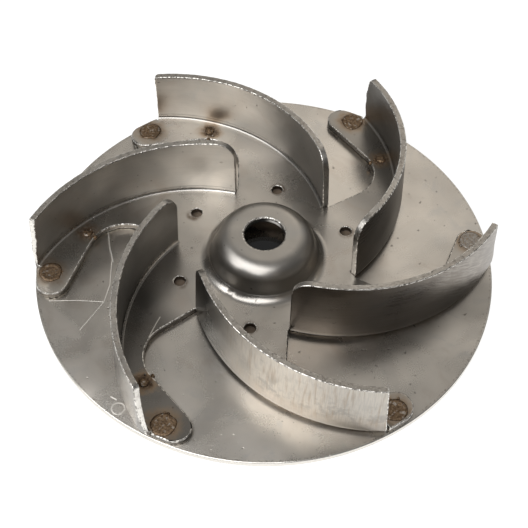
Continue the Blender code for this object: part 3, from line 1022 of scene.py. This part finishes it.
def make_spider(finishes):
    """The whole pressed sheet: its upper face, thickened, with its edges rounded."""
    sheet = SheetMesh()
    ring = add_boss(sheet, ring_angles())
    holes = [polar(HOLE_PITCH_RADIUS, FIRST_ARM_ANGLE + index * SIXTH + HOLE_ANGLE)
             for index in range(ARM_COUNT)]
    add_plate(sheet, ring, holes)
    bmesh.ops.recalc_face_normals(sheet.mesh, faces=sheet.mesh.faces)
    upward = sum(face.normal.z * face.calc_area() for face in sheet.mesh.faces)
    if upward < 0.0:
        bmesh.ops.reverse_faces(sheet.mesh, faces=sheet.mesh.faces)
    mesh = bpy.data.meshes.new("pressed_spider")
    sheet.mesh.to_mesh(mesh)
    sheet.mesh.free()
    nodes = ["hub_plate"] + [f"vane_{i + 1}" for i in range(ARM_COUNT)]
    spider = show("pressed_spider", mesh, finishes, nodes)
    solidify = spider.modifiers.new("gauge", "SOLIDIFY")
    solidify.thickness = SHEET
    solidify.offset = -1.0
    solidify.use_even_offset = True
    solidify.material_offset = LOWER_SLOT
    solidify.material_offset_rim = SHEARED_SLOT
    set_in_metal(spider)
    round_edges(spider, holes)


def make_disc(material):
    """The back disc turned from its section, with a rounded rim."""
    edge = DISC_EDGE_ROUND
    top = DISC_THICKNESS
    section = [Vector((DISC_BORE_RADIUS, 0.0)), Vector((DISC_BORE_RADIUS, top))]
    section += arc_points(Vector((DISC_RADIUS - edge, top - edge)), edge, 0.5 * math.pi, 0.0,
                          DISC_EDGE_STEP)
    section += arc_points(Vector((DISC_RADIUS - edge, edge)), edge, 0.0, -0.5 * math.pi,
                          DISC_EDGE_STEP)
    disc = bmesh.new()
    rows = []
    for radius, height in section:
        rows.append([disc.verts.new((*polar(radius, 2.0 * math.pi * i / DISC_STEPS), height))
                     for i in range(DISC_STEPS)])
    for near, far in zip(rows, rows[1:] + rows[:1]):
        for i, j in closed_loop(0, DISC_STEPS):
            disc.faces.new((near[i], far[i], far[j], near[j]))
    bmesh.ops.recalc_face_normals(disc, faces=disc.faces)
    mesh = bpy.data.meshes.new("back_plate")
    disc.to_mesh(mesh)
    disc.free()
    mesh.shade_smooth()
    mesh.set_sharp_from_angle(angle=DISC_SHARP_TURN)
    show("back_plate", mesh, [material], ["back_disc"])


def add_lump(target, place, base, radius, height, seed, ring=False):
    """A low crust of weld metal: a domed or ring-shaped patch with an uneven surface."""
    centre = target.verts.new((place.x, place.y, base + height * (0.35 if ring else 1.0)))
    last = None
    for i in range(1, CRUST_RINGS + 1):
        share = i / CRUST_RINGS
        row = []
        for j in range(CRUST_SPOKES):
            angle = 2.0 * math.pi * j / CRUST_SPOKES
            uneven = noise.noise(Vector((math.cos(angle) * 1.7, math.sin(angle) * 1.7, seed)))
            reach = radius * share * (1.0 + 0.10 * uneven)
            spot = place + polar(reach, angle)
            crust = noise.noise(Vector((spot.x, spot.y, seed * MM)) / (0.8 * MM))
            if ring:
                shape = 0.35 + 0.65 * math.exp(-((share - 0.78) / 0.12) ** 2)
            else:
                shape = math.sqrt(max(0.0, 1.0 - share * share))
            shape *= 1.0 - ease(0.86, 1.0, share)
            top = base + height * shape * (1.0 + 0.3 * crust) - 0.03 * MM * ease(0.9, 1.0, share)
            row.append(target.verts.new((spot.x, spot.y, top)))
        for j, k in closed_loop(0, CRUST_SPOKES):
            if last:
                target.faces.new((last[j], row[j], row[k], last[k]))
            else:
                target.faces.new((centre, row[j], row[k]))
        last = row
    sunk = target.verts.new((place.x, place.y, base - 0.2 * MM))
    for j, k in closed_loop(0, CRUST_SPOKES):
        target.faces.new((sunk, last[k], last[j]))


def add_bead(target, place, height, radius, seed):
    """A small ball of spattered metal."""
    made = bmesh.ops.create_icosphere(target, subdivisions=3, radius=radius)
    for vert in made["verts"]:
        swell = 1.0 + 0.25 * noise.noise(vert.co / radius + Vector((seed, 0.0, 0.0)))
        vert.co = vert.co * swell + Vector((place.x, place.y, height))


def add_chip(target, place, height, turn):
    """A torn three-cornered flake of sheet, lifted at one corner."""
    rows = []
    for lift in (0.0, CHIP_THICKNESS):
        rows.append([target.verts.new((*(place + turned(Vector((x, y)) * MM, turn)),
                                       height + (z + lift) * MM)) for x, y, z in CHIP_CORNERS])
    low, high = rows
    target.faces.new(low[::-1])
    target.faces.new(high)
    for i, j in closed_loop(0, len(CHIP_CORNERS)):
        target.faces.new((low[i], low[j], high[j], high[i]))


def make_welds(material):
    """Lobe and neck welds with their spatter, one piece for each CAD weld."""
    chance = random.Random(SPATTER_SEED)
    for index in range(ARM_COUNT):
        for kind, places in (("lobe", LOBE_WELDS), ("neck", NECK_WELDS)):
            spot, turn = weld_spot(places, index)
            weld = bmesh.new()
            if kind == "lobe":
                clean = index + 1 == CLEAN_WELD_ARM
                thick = CLEAN_CRUST_HEIGHT if clean else LOBE_CRUST_HEIGHT
                add_lump(weld, spot, PLATE_TOP, LOBE_CRUST_RADIUS, thick, index + 0.5, ring=True)
                beads = LOBE_BEADS
                spread = LOBE_BEAD_DISTANCES
            else:
                add_lump(weld, spot, PLATE_TOP, NECK_CRUST_RADIUS, NECK_CRUST_HEIGHT, index + 9.5)
                beads = NECK_BEADS
                spread = NECK_BEAD_DISTANCES
            for _ in range(beads):
                size = chance.uniform(*BEAD_SIZES) * MM
                away = polar(chance.uniform(*spread) * MM, chance.uniform(*BEAD_DIRECTIONS) + turn)
                add_bead(weld, spot + away, PLATE_TOP + 0.3 * size, size, chance.uniform(0, 9))
            if kind == "neck" and index == 0:
                add_chip(weld, spot, PLATE_TOP + 0.35 * MM, turn)
            if kind == "neck":
                notch_centre = polar(NOTCH_PLACE[0], NOTCH_PLACE[1] + turn)
                toward = (spot - notch_centre).normalized()
                edge = notch_centre + toward * (NOTCH_RADIUS - 0.1 * MM)
                add_bead(weld, edge, PLATE_TOP - 0.3 * MM, NOTCH_BEAD_RADIUS, index)
            bmesh.ops.recalc_face_normals(weld, faces=weld.faces)
            mesh = bpy.data.meshes.new(f"{kind}_weld_crust_{index + 1}")
            weld.to_mesh(mesh)
            weld.free()
            mesh.shade_smooth()
            show(mesh.name, mesh, [material], [f"{kind}_weld_{index + 1}"])


def make_floor():
    """Pale glowing paper, with a painted shadow where the disc covers it."""
    bpy.ops.mesh.primitive_circle_add(vertices=FLOOR_POINTS, radius=FLOOR_RADIUS,
                                      fill_type="NGON", location=(0.0, 0.0, -FLOOR_DROP))
    floor = bpy.context.object
    floor.name = "studio_floor"
    paper = Finish("pale_paper", metallic=0.0)
    # The glow falls to a painted shadow under the disc
    glow = paper.add("ShaderNodeMapRange", {}, {
        "Value": paper.vector("LENGTH", paper.place, output="Value"),
        "From Min": 0.85 * DISC_RADIUS, "From Max": 0.98 * DISC_RADIUS, "To Min": FLOOR_PAINTED_SHADOW})
    paper.feed(paper.shader.inputs["Base Color"], glow * FLOOR_COLOUR)
    paper.feed(paper.shader.inputs["Emission Color"], glow)
    paper.feed(paper.shader.inputs["Emission Strength"], FLOOR_GLOW)
    paper.feed(paper.shader.inputs["Roughness"], 0.9)
    paper.feed(paper.shader.inputs["Specular IOR Level"], 0.0)
    floor.data.materials.append(paper.material)
    floor.visible_diffuse = False


def add_softbox():
    """A wide soft light over the front left that faces the impeller."""
    data = bpy.data.lights.new("key_softbox", "AREA")
    data.shape = "RECTANGLE"
    data.size, data.size_y = SOFTBOX_SIZE
    data.energy = SOFTBOX_POWER
    data.color = SOFTBOX_COLOUR
    softbox = bpy.data.objects.new("key_softbox", data)
    softbox.location = SOFTBOX_PLACE
    softbox.rotation_euler = (-Vector(SOFTBOX_PLACE)).to_track_quat("-Z", "Y").to_euler()
    bpy.context.scene.collection.objects.link(softbox)


def light_studio():
    """A soft glow behind the impeller, seen directly as plain white, and the softbox."""
    world = bpy.data.worlds.new("studio")
    bpy.context.scene.world = world
    world.use_nodes = True
    sky = Nodes(world.node_tree)
    direction = sky.add("ShaderNodeTexCoord", {}, {}, "Generated")
    towards = sky.vector("DOT_PRODUCT", direction, GLOW_DIRECTION, output="Value")
    glow = sky.add("ShaderNodeValToRGB", {"ramp_steps": "EASE", "stops": GLOW_STOPS}, (towards,))
    seen = sky.add("ShaderNodeLightPath", {}, {}, "Is Camera Ray")
    background = world.node_tree.nodes["Background"]
    sky.feed(background.inputs["Color"], sky.blend(seen, glow, WHITE))
    add_softbox()


def place_camera():
    """Camera at the photograph's angle, looking at the axis from the front."""
    sine, cosine = math.sin(CAMERA_ELEVATION), math.cos(CAMERA_ELEVATION)
    level = Matrix(((1.0, 0.0, 0.0), (0.0, sine, cosine), (0.0, -cosine, sine)))
    axes = Matrix.Rotation(CAMERA_ROLL, 3, "Z") @ level
    right, up, back = axes
    data = bpy.data.cameras.new("camera")
    data.sensor_width = SENSOR_WIDTH
    data.lens = FOCAL_PIXELS / PICTURE_PIXELS * SENSOR_WIDTH
    data.clip_start = 0.01
    camera = bpy.data.objects.new("camera", data)
    place = back * CAMERA_DISTANCE - right * CAMERA_SHIFT_RIGHT - up * CAMERA_SHIFT_UP
    camera.matrix_world = Matrix.Translation(place) @ axes.transposed().to_4x4()
    bpy.context.scene.collection.objects.link(camera)
    bpy.context.scene.camera = camera


place_camera()
light_studio()
make_floor()
make_spider([make_inner_steel(), make_outer_steel(), make_edge_steel(), make_glint_steel()])
make_disc(make_disc_steel())
make_welds(make_weld_steel())
bpy.context.scene.view_settings.view_transform = "Standard"
